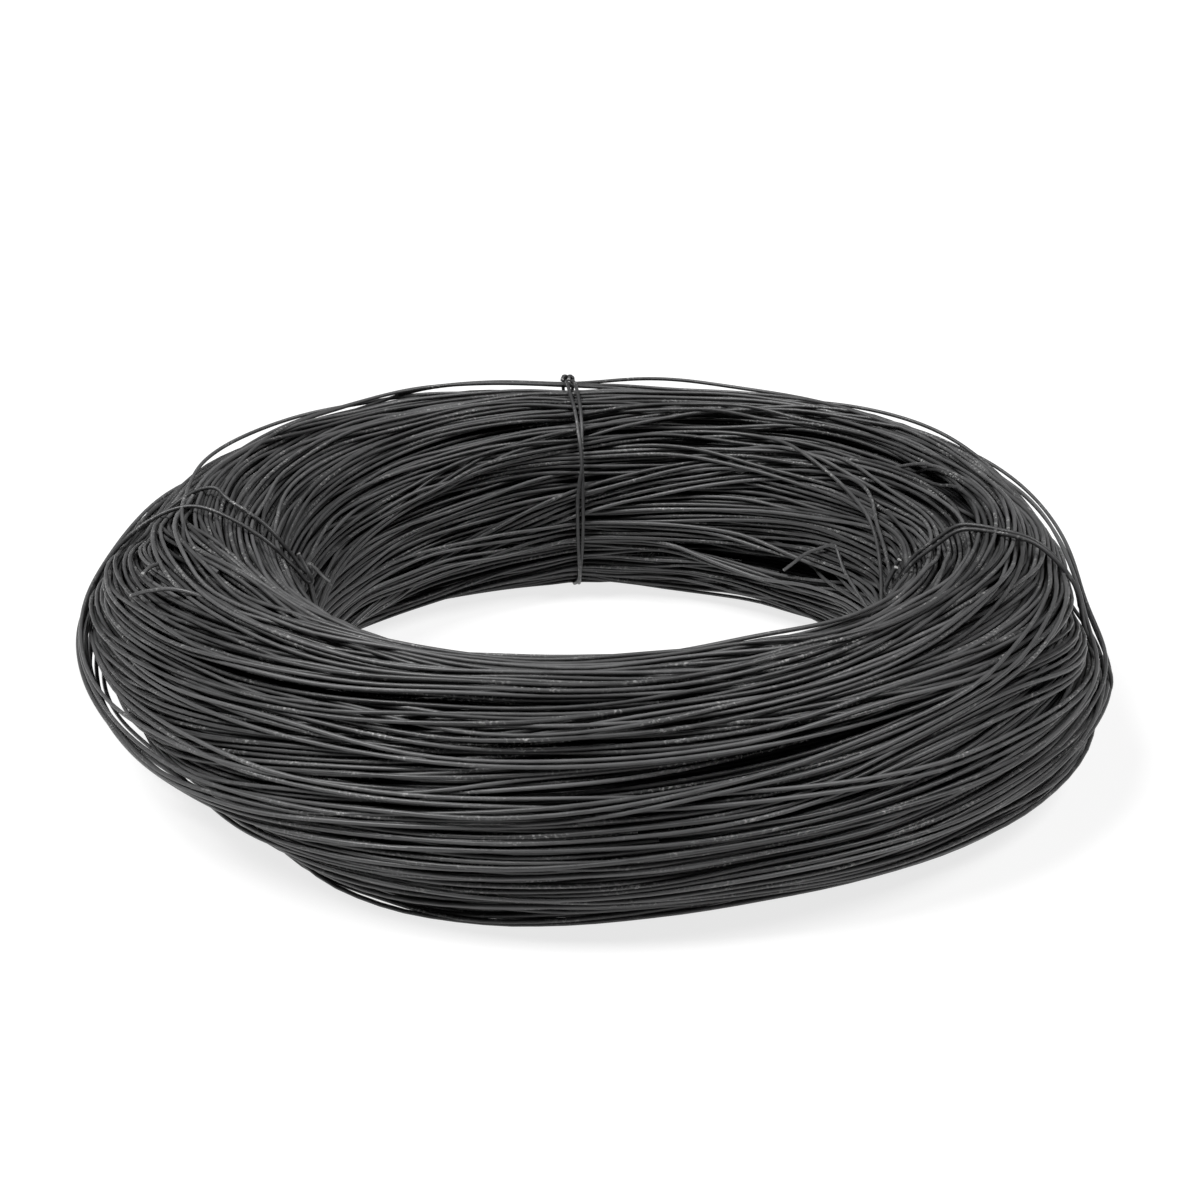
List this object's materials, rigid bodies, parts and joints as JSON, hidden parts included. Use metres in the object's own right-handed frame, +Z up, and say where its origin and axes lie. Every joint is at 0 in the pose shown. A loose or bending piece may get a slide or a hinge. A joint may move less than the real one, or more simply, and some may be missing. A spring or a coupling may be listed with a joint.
{
  "type": "coil of annealed steel wire",
  "caption": "Coil of black annealed steel wire lying flat, a ring with a domed ridged section and an open bore, held by doubled wire ties sunk in waists.",
  "frame": {"origin": "centre of the bore on the floor that the coil lies on", "axes": "+Z up along the axis of the coil; -Y towards the camera of the picture; +X to the picture's right"},
  "size_m": [0.3998, 0.3998, 0.088],
  "materials": {
    "annealed_wire": "black annealed oxide, matt, with faint rub marks",
    "tie_wire": "black annealed oxide, matt"
  },
  "bodies": {
    "root": {"wire_coil": "annealed_wire", "tie_left": "tie_wire", "tie_back": "tie_wire", "tie_right": "tie_wire"}
  },
  "joints": []
}
